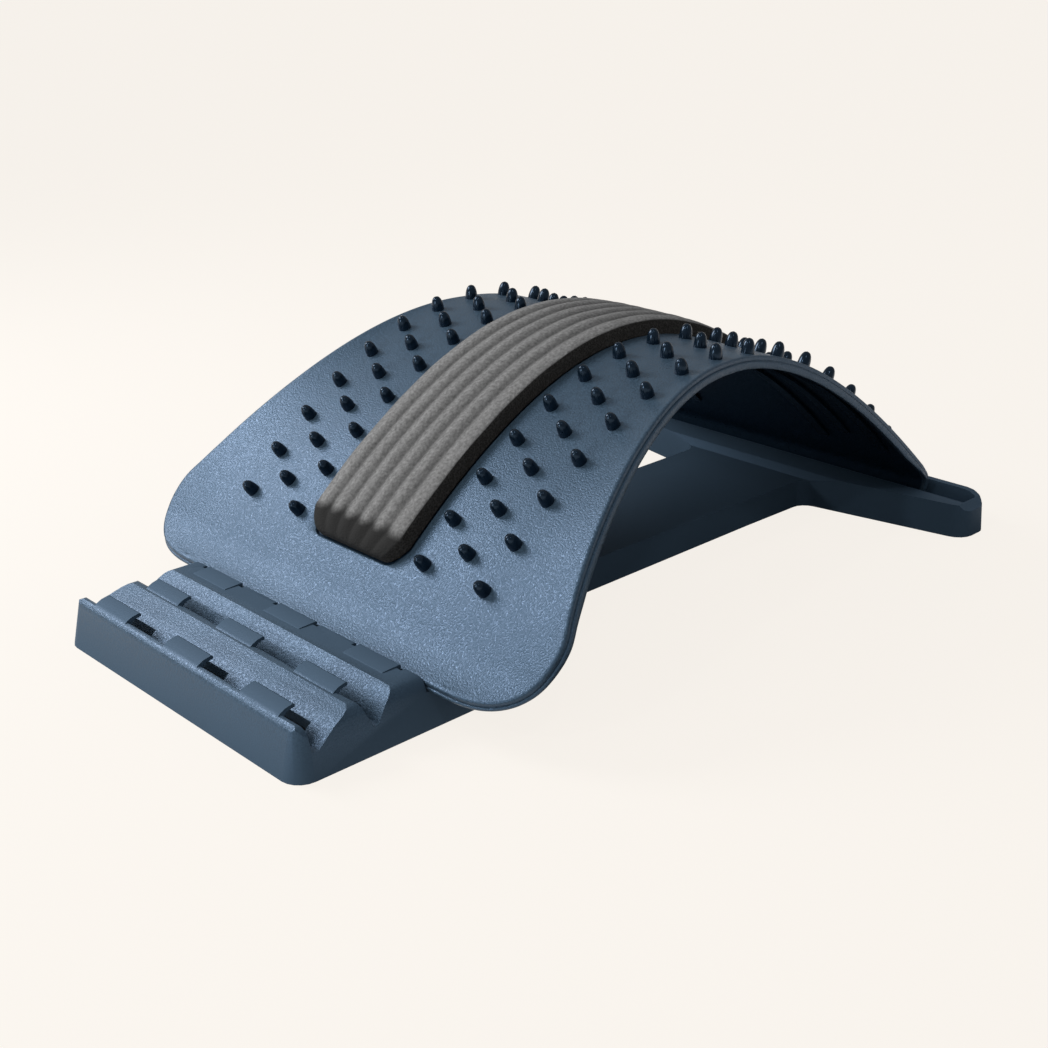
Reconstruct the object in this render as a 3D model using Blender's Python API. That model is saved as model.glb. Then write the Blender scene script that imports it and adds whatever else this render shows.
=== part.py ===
"""Back stretcher: a waisted, studded arch plate with a ribbed foam pad, hooked on a low I-shaped base.

Metres, +Z up. The origin is on the table under the middle of the base. +X runs along the
stretcher from the grooved block towards the rear foot, +Y to the user's left.
"""
import math

import bmesh
import bpy
import numpy as np
from mathutils import Matrix, Vector

MM = 0.001
GAP = 0.3 * MM

# Base, driving dimensions
BASE_LENGTH = 383.0 * MM
BLOCK_WIDTH = 160.1 * MM
SPINE_WIDTH = 71.0 * MM
FOOT_WIDTH = 235.0 * MM
BLOCK_END = -95.0 * MM
FOOT_START = 154.0 * MM
FOOT_TAPER = 16.3 * MM
BLOCK_CORNER = 8.5 * MM
WALL = 2.5 * MM
RIB = 2.0 * MM
CREST = 20.0 * MM
VALLEY = 10.0 * MM
LEDGE = 14.0 * MM
SPINE_TOP = 13.0 * MM
FOOT_TOP = 16.0 * MM
LIP_TOP = 18.5 * MM
DRAFT_FRONT = 0.19
DRAFT_REAR = 0.06

# Hooks, three on each ridge, and the mould windows under them
HOOK_WIDTH = 23.8 * MM
HOOK_SPACING = 51.5 * MM
HOOK_TOP = 22.5 * MM
HOOK_THICKNESS = 1.5 * MM
WINDOW_MARGIN = 3.0 * MM

# Rear slot that the tail of the arch rocks in
SLOT_START = 176.0 * MM
SLOT_END = 186.8 * MM
SLOT_FLOOR = 10.2 * MM
SLOT_HALF = 112.5 * MM
# The arch turns about the top inner edge of the rear lip
HINGE = Vector((186.0 * MM, 0, 18.9 * MM))

# Arch: a hyperbola from the toe to the tail
APEX_X = 31.3 * MM
APEX_Z = 108.25 * MM
CROWN_CURVATURE = 8.4
ARCH_REACH = 200.0 * MM
TOE_X = -114.3 * MM
TOE_LENGTH = 19.5 * MM
TOE_SLOPE = math.radians(24)
TAIL_X = 182.0 * MM
TAIL_RADIUS = 9.0 * MM
TAIL_SLOPE = math.radians(85)
TAIL_DROP = 7.0 * MM
# The front slope is a little fuller than the hyperbola, and its side edges curl up.
FULLNESS = 0.7 * MM
FULLNESS_X = -90.0 * MM
FULLNESS_REACH = 32.0 * MM
EDGE_LIFT = 2.4 * MM
LIFT_START = 78.7 * MM

# Plate outline, measured along the arch from its apex
ROW_PITCH = 21.25 * MM
PLATE_THICKNESS = 3.6 * MM
RIM_DEPTH = 5.4 * MM
RIM_STEP = 0.7 * MM
WAIST_HALF = 80.6 * MM
WAIST_ROW = 1.0
FRONT_FLARE = 38.5 * MM
REAR_FLARE = 9.7 * MM
CORNER_LENGTH = 31.3 * MM
CORNER_REACH = 38.5 * MM
CORNER_CENTRE_Y = 84.0 * MM
CORNER_POWER = 0.8
TAIL_TAPER = ((17, 0.2), (14, 0.4), (11.5, 0.8), (9, 1.0), (5, 1.4), (0, 4.0))

# Pad and studs
RECESS_DEPTH = 1.5 * MM
RECESS_HALF = 31.0 * MM
RECESS_ROWS = 7.45
PAD_HALF = 28.4 * MM
PAD_ROWS = 7.25
PAD_RIBS = 6
PAD_TOP = 7.7 * MM
PAD_RIB_DEPTH = 1.5 * MM
ADHESIVE = 0.5 * MM
STUD_RADIUS = 2.9 * MM
STUD_HEIGHT = 6.6 * MM
STUD_SIDES = 8
STRIP_HALF = 3.0 * MM
STRIP_THICKNESS = 1.2 * MM
STUD_COLUMNS = (("inner", 41.0 * MM, 0.0), ("middle", 58.1 * MM, 0.5), ("outer", 75.2 * MM, 0.0))
ROWS_EACH_WAY = 7


for old in list(bpy.data.objects):
    bpy.data.objects.remove(old, do_unlink=True)

PARTS = bpy.data.collections.new("back_stretcher")
CUTTERS = bpy.data.collections.new("cutters")
bpy.context.scene.collection.children.link(PARTS)
bpy.context.scene.collection.children.link(CUTTERS)


def finish(name, colour, roughness, metallic=0.0):
    """A Principled material."""
    material = bpy.data.materials.new(name)
    material.use_nodes = True
    shader = material.node_tree.nodes["Principled BSDF"]
    shader.inputs["Base Color"].default_value = (*colour, 1.0)
    shader.inputs["Roughness"].default_value = roughness
    shader.inputs["Metallic"].default_value = metallic
    return material


SLATE_PLATE = finish("slate_plate", (0.135, 0.185, 0.245), 0.42)
SLATE_BASE = finish("slate_base", (0.085, 0.125, 0.165), 0.45)
STUD_NAVY = finish("stud_navy", (0.008, 0.018, 0.032), 0.22)
FOAM_GREY = finish("foam_grey", (0.30, 0.285, 0.265), 0.9)
ADHESIVE_FILM = finish("adhesive_film", (0.55, 0.55, 0.5), 0.6)


def solid(name, mesh_builder, material=None):
    """An object from a bmesh; without a material it is a cutter."""
    mesh = bpy.data.meshes.new(name)
    bmesh.ops.recalc_face_normals(mesh_builder, faces=mesh_builder.faces)
    mesh_builder.to_mesh(mesh)
    mesh_builder.free()
    obj = bpy.data.objects.new(name, mesh)
    if material:
        mesh.materials.append(material)
        PARTS.objects.link(obj)
    else:
        obj.hide_render = True
        obj.display_type = "WIRE"
        CUTTERS.objects.link(obj)
    return obj


def combine(obj, other, operation):
    """Leave a live Boolean of another solid on an object."""
    modifier = obj.modifiers.new(other.name, "BOOLEAN")
    modifier.operation = operation
    modifier.object = other
    modifier.solver = "EXACT"


def shade(obj, degrees=35):
    obj.data.shade_smooth()
    obj.data.set_sharp_from_angle(angle=math.radians(degrees))


def loft(bm, rings):
    """Join rings of equal length with quads and close both ends."""
    loops = [[bm.verts.new(point) for point in ring] for ring in rings]
    for ring, following in zip(loops, loops[1:]):
        for i, vertex in enumerate(ring):
            j = (i + 1) % len(ring)
            bm.faces.new((vertex, ring[j], following[j], following[i]))
    bm.faces.new(loops[0])
    bm.faces.new(loops[-1])


def curved_loft(bm, rings):
    """A loft whose twisted quads are cut into triangles, so that a Boolean meets only flat faces."""
    loft(bm, rings)
    bm.normal_update()
    twisted = []
    for face in bm.faces:
        centre = face.calc_center_median()
        if max(abs((vertex.co - centre).dot(face.normal)) for vertex in face.verts) > 0.001 * MM:
            twisted.append(face)
    bmesh.ops.triangulate(bm, faces=twisted)


def side_extrusion(bm, outline, y_from, y_to):
    """A side view in (x, z), pulled along Y."""
    loft(bm, [[(x, y, z) for x, z in outline] for y in (y_from, y_to)])


def filleted(corners):
    """A closed plan outline from corners given as (x, y, radius)."""
    points = []
    for i, (x, y, radius) in enumerate(corners):
        here = Vector((x, y))
        before = Vector(corners[i - 1][:2]) - here
        after = Vector(corners[(i + 1) % len(corners)][:2]) - here
        half = before.angle(after) / 2
        centre = here + (before.normalized() + after.normalized()).normalized() * radius / math.sin(half)
        start = here + before.normalized() * radius / math.tan(half) - centre
        end = here + after.normalized() * radius / math.tan(half) - centre
        turn = start.angle_signed(end)
        steps = max(3, round(abs(turn) / math.radians(18)))
        for k in range(steps + 1):
            points.append(centre + Matrix.Rotation(-turn * k / steps, 2) @ start)
    return points


def base_corners():
    """Plan of the base at the table, anticlockwise, as (x, y, radius): block, spine and tapered foot."""
    end = BASE_LENGTH / 2
    half = [
        (-end, -BLOCK_WIDTH / 2, BLOCK_CORNER),
        (BLOCK_END, -BLOCK_WIDTH / 2, 12 * MM),
        (BLOCK_END + 9 * MM, -SPINE_WIDTH / 2, 14 * MM),
        (FOOT_START, -SPINE_WIDTH / 2, 8 * MM),
        (FOOT_START + FOOT_TAPER, -FOOT_WIDTH / 2, 9 * MM),
        (end, -FOOT_WIDTH / 2, 7 * MM),
    ]
    return half + [(x, -y, radius) for x, y, radius in reversed(half)]


def drafted(corners, inset, z):
    """The plan at height z, moved in by a wall and by the moulding draft."""
    moved = []
    for i, (x, y, radius) in enumerate(corners):
        here = Vector((x, y))
        before = (Vector(corners[i - 1][:2]) - here).normalized()
        after = (Vector(corners[(i + 1) % len(corners)][:2]) - here).normalized()
        half = before.angle(after) / 2
        inner = (before + after).normalized()
        outward_corner = after.x * before.y - after.y * before.x > 0
        share = min(1, max(0, (x + 0.08) / 0.18))
        depth = inset + (DRAFT_FRONT + (DRAFT_REAR - DRAFT_FRONT) * share) * z
        if not outward_corner:
            depth = -depth
        place = here + inner * depth / math.sin(half)
        moved.append((place.x, place.y, max(radius - depth, 0.8 * MM)))
    return [(point.x, point.y, z) for point in filleted(moved)]


# Side view of the base: a lip, two sloping ridges, the wide third ridge, the spine and the foot.
# Each groove has its valley floor, and the ridge behind it rises as a ramp.
LIP_CREST_X = -186.9 * MM
RIDGE_2_X = -162.2 * MM
RIDGE_3_X = -142.6 * MM
RIDGE_3_END = -130.4 * MM
EDGE = 0.9 * MM
RAMP_FULLNESS = 0.8 * MM


def base_top_line():
    """Top of the base from front to rear, as (x, z)."""
    end = BASE_LENGTH / 2 + 5 * MM
    return [
        (-end, CREST - 4.6 * MM),
        (LIP_CREST_X - 1.7 * MM, CREST - 4.5 * MM),
        (LIP_CREST_X - 1.52 * MM, CREST - 3.26 * MM),
        (LIP_CREST_X - 1.13 * MM, CREST - 2.2 * MM),
        (LIP_CREST_X - 0.52 * MM, CREST - 1.29 * MM),
        (LIP_CREST_X + 0.28 * MM, CREST - 0.59 * MM),
        (LIP_CREST_X + 1.2 * MM, CREST - 0.15 * MM),
        (LIP_CREST_X + 2.2 * MM, CREST),
        (LIP_CREST_X + 3.0 * MM, CREST - 0.5 * MM),
        (LIP_CREST_X + 3.5 * MM, CREST - 1.9 * MM),
        (LIP_CREST_X + 4.2 * MM, VALLEY + 0.6 * MM),
        (LIP_CREST_X + 5.6 * MM, VALLEY),
        (LIP_CREST_X + 7.0 * MM, VALLEY + 0.2 * MM),
        ((LIP_CREST_X + RIDGE_2_X) / 2 + 2.2 * MM, (VALLEY + CREST) / 2 + RAMP_FULLNESS),
        (RIDGE_2_X - 2.6 * MM, CREST - EDGE),
        (RIDGE_2_X - 1.0 * MM, CREST),
        (RIDGE_2_X + 1.2 * MM, CREST),
        (RIDGE_2_X + 2.8 * MM, CREST - EDGE),
        (RIDGE_2_X + 6.2 * MM, VALLEY + 0.5 * MM),
        (RIDGE_2_X + 7.2 * MM, VALLEY),
        (RIDGE_2_X + 8.8 * MM, VALLEY + 0.2 * MM),
        ((RIDGE_2_X + RIDGE_3_X) / 2 + 3.1 * MM, (VALLEY + CREST) / 2 + RAMP_FULLNESS),
        (RIDGE_3_X - 2.6 * MM, CREST - EDGE),
        (RIDGE_3_X - 1.0 * MM, CREST),
        (RIDGE_3_END - 0.6 * MM, CREST),
        (RIDGE_3_END, CREST - 0.6 * MM),
        (RIDGE_3_END + 0.1 * MM, LEDGE),
        (BLOCK_END, LEDGE),
        (BLOCK_END + 10 * MM, SPINE_TOP),
        (FOOT_START + 1 * MM, SPINE_TOP),
        (FOOT_START + 5 * MM, FOOT_TOP),
        (SLOT_END - 1.2 * MM, FOOT_TOP),
        (SLOT_END - 1.0 * MM, LIP_TOP - 0.5 * MM),
        (SLOT_END - 0.5 * MM, LIP_TOP),
        (end, LIP_TOP),
    ]


def base_ceiling():
    """Underside of the base's walls, as (x, z): the same line, a wall lower."""
    under = 2.6 * MM
    end = BASE_LENGTH / 2 + 5 * MM
    return [
        (-end, VALLEY - under),
        (LIP_CREST_X + 7.6 * MM, VALLEY - under),
        (RIDGE_2_X - 1.2 * MM, CREST - 3.1 * MM),
        (RIDGE_2_X + 0.2 * MM, CREST - 3.1 * MM),
        (RIDGE_2_X + 4.0 * MM, VALLEY - under),
        (RIDGE_2_X + 10.2 * MM, VALLEY - under),
        (RIDGE_3_X - 0.6 * MM, CREST - under),
        (RIDGE_3_END - under, CREST - under),
        (RIDGE_3_END - under, LEDGE - under),
        (BLOCK_END, LEDGE - under),
        (BLOCK_END + 10 * MM, SPINE_TOP - under),
        (FOOT_START + 2 * MM, SPINE_TOP - under),
        (FOOT_START + 6 * MM, FOOT_TOP - under),
        (SLOT_START - under, FOOT_TOP - under),
        (SLOT_START - under + 0.2 * MM, SLOT_FLOOR - under),
        (end, SLOT_FLOOR - under),
    ]


def closed_below(line, depth):
    """A closed side outline: the line, and a floor below it."""
    return line + [(line[-1][0], -depth), (line[0][0], -depth)]


def plan_solid(name, inset):
    """The drafted plan, taller and deeper than the base."""
    bm = bmesh.new()
    curved_loft(bm, [drafted(base_corners(), inset, z) for z in (-5 * MM, 26 * MM)])
    return solid(name, bm)


def blades(name, spans):
    """Thin upright plates given as (x from, x to, y from, y to)."""
    bm = bmesh.new()
    for x_from, x_to, y_from, y_to in spans:
        size = Matrix.Diagonal((x_to - x_from, y_to - y_from, 60 * MM, 1))
        place = Matrix.Translation(((x_from + x_to) / 2, (y_from + y_to) / 2, 0))
        bmesh.ops.create_cube(bm, size=1, matrix=place @ size)
    return solid(name, bm)


def base_hollow():
    """The open underside: everything below the ceiling and inside the walls, less the ribs."""
    bm = bmesh.new()
    side_extrusion(bm, closed_below(base_ceiling(), 3 * MM), -0.15, 0.15)
    hollow = solid("hollow", bm)
    combine(hollow, plan_solid("hollow_plan", WALL), "INTERSECT")
    reach = 0.2
    long_ribs = [(-reach, BLOCK_END, side - RIB / 2, side + RIB / 2)
                 for side in (-HOOK_SPACING / 2, HOOK_SPACING / 2)]
    combine(hollow, blades("long_ribs", long_ribs), "DIFFERENCE")
    cross = [BLOCK_END - RIB, BLOCK_END + 16 * MM, -25 * MM, 30 * MM, 85 * MM, 140 * MM]
    cross_ribs = [(x, x + RIB, -0.16, 0.16) for x in cross]
    combine(hollow, blades("cross_ribs", cross_ribs), "DIFFERENCE")
    return hollow


def hook_row(bm, root, tip):
    """Three flat hooks that rise from a ridge's crest and reach over the groove behind it."""
    under = HOOK_TOP - HOOK_THICKNESS
    outline = [
        (root + 0.8 * MM, CREST - 1.9 * MM),
        (root + 0.3 * MM, CREST - 0.5 * MM),
        (root + 1.8 * MM, CREST + 0.7 * MM),
        (root + 4.0 * MM, CREST + 1.8 * MM),
        (tip - 0.8 * MM, HOOK_TOP),
        (tip, HOOK_TOP - 0.4 * MM),
        (tip, under),
        (tip - 1.5 * MM, under - 0.2 * MM),
        (root + 4.4 * MM, under - 0.8 * MM),
        (root + 3.0 * MM, CREST - 1.9 * MM),
    ]
    hooks_from(bm, outline)


def flat_hook_row(bm, root, tip):
    """The third row: nearly flush with the plateau, bridging a notch in its rear edge."""
    outline = [
        (root, CREST - 0.8 * MM),
        (root + 2.0 * MM, CREST + 0.3 * MM),
        (tip - 0.6 * MM, CREST + 0.6 * MM),
        (tip, CREST + 0.2 * MM),
        (tip, CREST - 0.7 * MM),
        (tip - 0.7 * MM, CREST - 0.9 * MM),
    ]
    hooks_from(bm, outline)


def hooks_from(bm, outline):
    for side in (-1, 0, 1):
        middle = side * HOOK_SPACING
        side_extrusion(bm, outline, middle - HOOK_WIDTH / 2, middle + HOOK_WIDTH / 2)


def base_frame():
    bm = bmesh.new()
    side_extrusion(bm, closed_below(base_top_line(), 0), -0.15, 0.15)
    base = solid("base_frame", bm, SLATE_BASE)
    combine(base, plan_solid("base_plan", 0), "INTERSECT")

    bm = bmesh.new()
    lip_start = SLOT_END
    slot = [(SLOT_START, 30 * MM), (SLOT_START, SLOT_FLOOR), (lip_start, SLOT_FLOOR), (lip_start, 30 * MM)]
    side_extrusion(bm, slot, -SLOT_HALF, SLOT_HALF)
    combine(base, solid("rear_slot", bm), "DIFFERENCE")

    bm = bmesh.new()
    for side in (-1, 1):
        outer = FOOT_WIDTH / 2
        fall = [(outer - 13 * MM, LIP_TOP + 0.2 * MM)]
        fall += [(outer - 13 * MM + 11 * MM * math.sin(a), LIP_TOP + 0.2 * MM - 7 * MM * (1 - math.cos(a)))
                 for a in (math.radians(25), math.radians(50), math.radians(75))]
        fall += [(outer + 5 * MM, LIP_TOP - 9 * MM), (outer + 5 * MM, 30 * MM), (outer - 13 * MM, 30 * MM)]
        loft(bm, [[(x, side * y, z) for y, z in fall] for x in (0.1, 0.21)])
    combine(base, solid("foot_end_rounds", bm), "DIFFERENCE")

    # The ends of the lip and of the ridges round over to the block's sides.
    bm = bmesh.new()
    for side in (-1, 1):
        outer = BLOCK_WIDTH / 2
        fall = [(outer - 2.5 * MM, CREST - 5.6 * MM), (outer - 3.4 * MM, CREST - 3.4 * MM)]
        fall += [(outer - 4.3 * MM, CREST - 1.8 * MM), (outer - 5.6 * MM, CREST - 0.7 * MM)]
        fall += [(outer - 7.8 * MM, CREST + 0.1 * MM), (outer - 7.8 * MM, 30 * MM)]
        fall += [(outer + 5 * MM, 30 * MM), (outer + 5 * MM, CREST - 5.6 * MM)]
        loft(bm, [[(x, side * y, z) for y, z in fall] for x in (-0.21, -0.12)])
    combine(base, solid("block_end_rounds", bm), "DIFFERENCE")

    combine(base, base_hollow(), "DIFFERENCE")

    # Each row's hooks, and along X the hooks' root and tip and the mould window under the tip.
    rows = (
        (hook_row, LIP_CREST_X + 0.2 * MM, -178.6 * MM, LIP_CREST_X + 4.0 * MM, -174.2 * MM),
        (hook_row, RIDGE_2_X - 0.9 * MM, -155.4 * MM, RIDGE_2_X + 3.4 * MM, -151.8 * MM),
        (flat_hook_row, RIDGE_3_X + 1.5 * MM, RIDGE_3_END - 0.2 * MM, RIDGE_3_END - 2.6 * MM, RIDGE_3_END + 2.2 * MM),
    )
    windows = bmesh.new()
    hooks = bmesh.new()
    for make_hooks, root, tip, window_from, window_to in rows:
        make_hooks(hooks, root, tip)
        opening = [(window_from, -5 * MM), (window_to, -5 * MM), (window_to, 40 * MM), (window_from, 40 * MM)]
        for side in (-1, 0, 1):
            middle = side * HOOK_SPACING
            half = HOOK_WIDTH / 2 + WINDOW_MARGIN
            side_extrusion(windows, opening, middle - half, middle + half)
    combine(base, solid("mould_windows", windows), "DIFFERENCE")
    combine(base, solid("hooks", hooks), "UNION")
    shade(base)
    return base


class ArchLine:
    """The arch's top line in the XZ plane, by distance along it from the apex."""

    def __init__(self):
        crown = np.linspace(TOE_X, TAIL_X, 1201)
        rise = np.sqrt(1 + ((crown - APEX_X) / ARCH_REACH) ** 2)
        height = APEX_Z - CROWN_CURVATURE * ARCH_REACH ** 2 * (rise - 1)
        height += FULLNESS * np.exp(-((crown - FULLNESS_X) / FULLNESS_REACH) ** 2)
        start = math.atan2(height[1] - height[0], crown[1] - crown[0])
        toe = self.bend(crown[0], height[0], start, TOE_SLOPE, -TOE_LENGTH)
        end = math.atan2(height[-1] - height[-2], crown[-1] - crown[-2])
        tail = self.bend(crown[-1], height[-1], end, -TAIL_SLOPE, TAIL_RADIUS * (TAIL_SLOPE + end))
        x = np.concatenate([toe[0][::-1][:-1], crown, tail[0][1:]])
        z = np.concatenate([toe[1][::-1][:-1], height, tail[1][1:]])
        x = np.append(x, x[-1] + TAIL_DROP * math.cos(TAIL_SLOPE))
        z = np.append(z, z[-1] - TAIL_DROP * math.sin(TAIL_SLOPE))
        length = np.concatenate([[0], np.cumsum(np.hypot(np.diff(x), np.diff(z)))])
        self.s = length - np.interp(APEX_X, x[:1200], length[:1200])
        self.x = x
        self.z = z

    @staticmethod
    def bend(x, z, slope_from, slope_to, length):
        """A short run whose slope changes evenly, from a point, forwards or backwards."""
        steps = 20
        slopes = np.linspace(slope_from, slope_to, steps + 1)
        middle = (slopes[1:] + slopes[:-1]) / 2
        dx = np.cumsum(np.cos(middle)) * length / steps
        dz = np.cumsum(np.sin(middle)) * length / steps
        return np.concatenate([[x], x + dx]), np.concatenate([[z], z + dz])

    def frame(self, s):
        """Point on the line, its tangent and its normal, as 3-D vectors."""
        here = Vector((np.interp(s, self.s, self.x), 0, np.interp(s, self.s, self.z)))
        step = 0.5 * MM
        low = max(self.s[0], s - step)
        high = min(self.s[-1], s + step)
        tangent = Vector((np.interp(high, self.s, self.x) - np.interp(low, self.s, self.x), 0,
                          np.interp(high, self.s, self.z) - np.interp(low, self.s, self.z))).normalized()
        return here, tangent, Vector((-tangent.z, 0, tangent.x))

    def place(self, s, y, out):
        """The point at distance s, side y and height out above the plate."""
        here, _, normal = self.frame(s)
        point = here + normal * out
        return Vector((point.x, y, point.z))


ARCH = ArchLine()
FRONT_S = ARCH.s[0]
TAIL_S = ARCH.s[-1]


def arch_strip(bm, stations, section):
    """A closed strip along the arch; section(s) gives its outline as (y, out)."""
    curved_loft(bm, [[ARCH.place(s, y, out) for y, out in section(s)] for s in stations])


def fold_lines(start, end):
    """Distances along the arch halfway between the rows of studs, so that no fold crosses a stud's hole."""
    lines = [(k + 0.5) * ROW_PITCH / 2 for k in range(-20, 20)]
    return [s for s in lines if start < s < end]


def plate_edge():
    """Stations and half-widths of the plate: front corner arc, waist, rear flare."""
    edge = []
    for k in range(9):
        angle = math.radians(98) * k / 8
        back = math.cos(angle) ** CORNER_POWER if angle < math.pi / 2 else math.cos(angle)
        edge.append((FRONT_S + CORNER_LENGTH * (1 - back),
                     CORNER_CENTRE_Y + CORNER_REACH * math.sin(angle) ** CORNER_POWER))
    waist = WAIST_ROW * ROW_PITCH
    straight_end = TAIL_S - 20 * MM
    for s in fold_lines(edge[-1][0] + 5 * MM, straight_end - 5 * MM) + [straight_end]:
        if s < waist:
            half = WAIST_HALF + FRONT_FLARE * ((waist - s) / (8 * ROW_PITCH)) ** 1.57
        else:
            half = WAIST_HALF + REAR_FLARE * ((s - waist) / (7.5 * ROW_PITCH)) ** 1.5
        edge.append((s, half))
    last = edge[-1][1]
    for back, narrower in TAIL_TAPER:
        edge.append((TAIL_S - back * MM, last - narrower * MM))
    return edge


def edge_lift(s):
    """How far the side edges of the front half curl up."""
    return EDGE_LIFT * math.sin(math.pi * s / FRONT_S) if s < 0 else 0


def plate_section(half, rim, lift):
    """Half of the outline is the top, the other the underside with its stepped rim."""
    flat = LIFT_START
    right = [
        (flat, 0),
        ((flat + half - 0.9 * MM) / 2, 0.36 * lift),
        (half - 0.9 * MM, lift),
        (half, lift - 0.9 * MM),
        (half, lift - 2.2 * MM),
        (half + RIM_STEP, lift - 2.7 * MM),
        (half + RIM_STEP, lift - rim),
        (half - 1.3 * MM, lift - rim),
        (half - 1.6 * MM, lift - PLATE_THICKNESS),
        ((flat + half - 1.6 * MM) / 2, 0.36 * lift - PLATE_THICKNESS),
        (flat, -PLATE_THICKNESS),
    ]
    return right + [(-y, out) for y, out in reversed(right)]


def arch_plate():
    edge = plate_edge()
    bm = bmesh.new()
    rings = []
    for s, half in edge:
        share = min(1, max(0, (s - FRONT_S - 12 * MM) / (40 * MM)), max(0, (TAIL_S - 16 * MM - s) / (20 * MM)))
        rim = PLATE_THICKNESS + 0.15 * MM + (RIM_DEPTH - PLATE_THICKNESS) * share
        rings.append([ARCH.place(s, y, out) for y, out in plate_section(half, rim, edge_lift(s))])
    curved_loft(bm, rings)
    plate = solid("arch_plate", bm, SLATE_PLATE)

    bm = bmesh.new()
    reach = RECESS_ROWS * ROW_PITCH
    corner = 6 * MM
    stations = [-reach, -reach + 0.3 * corner, -reach + corner]
    stations += [k * ROW_PITCH / 2 for k in range(-13, 14)]
    stations += [reach - corner, reach - 0.3 * corner, reach]

    def recess(s):
        into = min(1, (reach - abs(s)) / corner)
        half = RECESS_HALF - corner * (1 - math.sqrt(1 - (1 - into) ** 2))
        return [(-half, -RECESS_DEPTH), (half, -RECESS_DEPTH), (half, 4 * MM), (-half, 4 * MM)]

    arch_strip(bm, stations, recess)
    combine(plate, solid("pad_recess", bm), "DIFFERENCE")
    combine(plate, stud_holes(), "DIFFERENCE")
    shade(plate)
    return plate


def pad_section(s):
    """The pad's outline at s: lengthwise ribs on top, sides drawn in a little, a rounded end."""
    reach = PAD_ROWS * ROW_PITCH
    into = min(1, (reach - abs(s)) / (14 * MM))
    round_end = math.sqrt(max(0, 1 - (1 - into) ** 2))
    corner = 8 * MM * (1 - min(1, math.sqrt((reach - abs(s)) / (9 * MM))))
    half = PAD_HALF - corner
    bottom = -RECESS_DEPTH + GAP + ADHESIVE + GAP
    height = bottom + (PAD_TOP - bottom) * (0.35 + 0.65 * round_end)
    section = [(-half, bottom), (half, bottom), (half - 0.4 * MM, bottom + (height - bottom) * 0.6)]
    steps = 4 * PAD_RIBS
    for k in range(steps + 1):
        across = 1 - 2 * k / steps
        wave = 0.5 - 0.5 * math.cos(2 * math.pi * PAD_RIBS * (across + 1) / 2)
        edge_fall = 0.7 * MM * abs(across) ** 8
        crown = 0.5 * MM * across ** 2
        depth = PAD_RIB_DEPTH * (1 - wave) * round_end
        section.append(((half - 0.8 * MM) * across, height - depth - crown - edge_fall * round_end))
    section.append((-half + 0.4 * MM, bottom + (height - bottom) * 0.6))
    return section


def foam_pad():
    reach = PAD_ROWS * ROW_PITCH
    ends = [0, 1.5 * MM, 5 * MM, 9 * MM, 14 * MM]
    stations = [-reach + d for d in ends]
    stations += list(np.linspace(-reach + ends[-1], reach - ends[-1], 26)[1:-1])
    stations += [reach - d for d in reversed(ends)]
    bm = bmesh.new()
    arch_strip(bm, stations, pad_section)
    pad = solid("foam_pad", bm, FOAM_GREY)
    shade(pad, 50)
    return pad


def pad_adhesive():
    reach = PAD_ROWS * ROW_PITCH - 4 * MM
    half = PAD_HALF - 3 * MM
    low = -RECESS_DEPTH + GAP
    bm = bmesh.new()
    arch_strip(bm, np.linspace(-reach, reach, 26),
               lambda s: [(-half, low), (half, low), (half, low + ADHESIVE), (-half, low + ADHESIVE)])
    return solid("pad_adhesive", bm, ADHESIVE_FILM)


def stud_places(shift):
    """Distances along the arch of one column's studs."""
    count = int(2 * (ROWS_EACH_WAY - shift)) + 1
    return [(k - (count - 1) / 2) * ROW_PITCH for k in range(count)]


def upright(bm, s, y, profile):
    """A round solid square to the plate, from (radius, height out of the plate) pairs."""
    here, tangent, normal = ARCH.frame(s)
    turn = Matrix((tangent, Vector((0, 1, 0)), normal)).transposed().to_4x4()
    place = Matrix.Translation((here.x, y, here.z)) @ turn
    angles = [2 * math.pi * (k + 0.25) / STUD_SIDES for k in range(STUD_SIDES)]
    loft(bm, [[place @ Vector((radius * math.cos(a), radius * math.sin(a), out)) for a in angles]
              for radius, out in profile])


def stud_holes():
    """Cutter for the holes that the studs stand in."""
    bm = bmesh.new()
    radius = STUD_RADIUS + GAP
    for sign in (1, -1):
        for _, y, shift in STUD_COLUMNS:
            for s in stud_places(shift):
                upright(bm, s, sign * y, ((radius, -PLATE_THICKNESS - 2 * MM), (radius, 3 * MM)))
    return solid("stud_holes", bm)


def stud_strips():
    """Three strips each side, bonded under the plate, whose studs come up through its holes."""
    top = -PLATE_THICKNESS - GAP
    low = top - STRIP_THICKNESS
    bullet = (
        (STUD_RADIUS, top - STRIP_THICKNESS / 2),
        (STUD_RADIUS, 0.6 * MM),
        (STUD_RADIUS * 0.9, STUD_HEIGHT * 0.55),
        (STUD_RADIUS * 0.68, STUD_HEIGHT * 0.84),
        (STUD_RADIUS * 0.3, STUD_HEIGHT),
    )
    for side, sign in (("left", 1), ("right", -1)):
        for name, y, shift in STUD_COLUMNS:
            places = stud_places(shift)
            middle = sign * y
            bm = bmesh.new()
            ends = places[-1] + 5 * MM
            arch_strip(bm, np.linspace(-ends, ends, 2 * len(places) + 1),
                       lambda s: [(middle - STRIP_HALF, low), (middle + STRIP_HALF, low),
                                  (middle + STRIP_HALF, top), (middle - STRIP_HALF, top)])
            strip = solid(f"stud_strip_{side}_{name}", bm, STUD_NAVY)
            bm = bmesh.new()
            for s in places:
                upright(bm, s, middle, bullet)
            combine(strip, solid(f"studs_{side}_{name}", bm), "UNION")
            shade(strip, 60)


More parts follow.
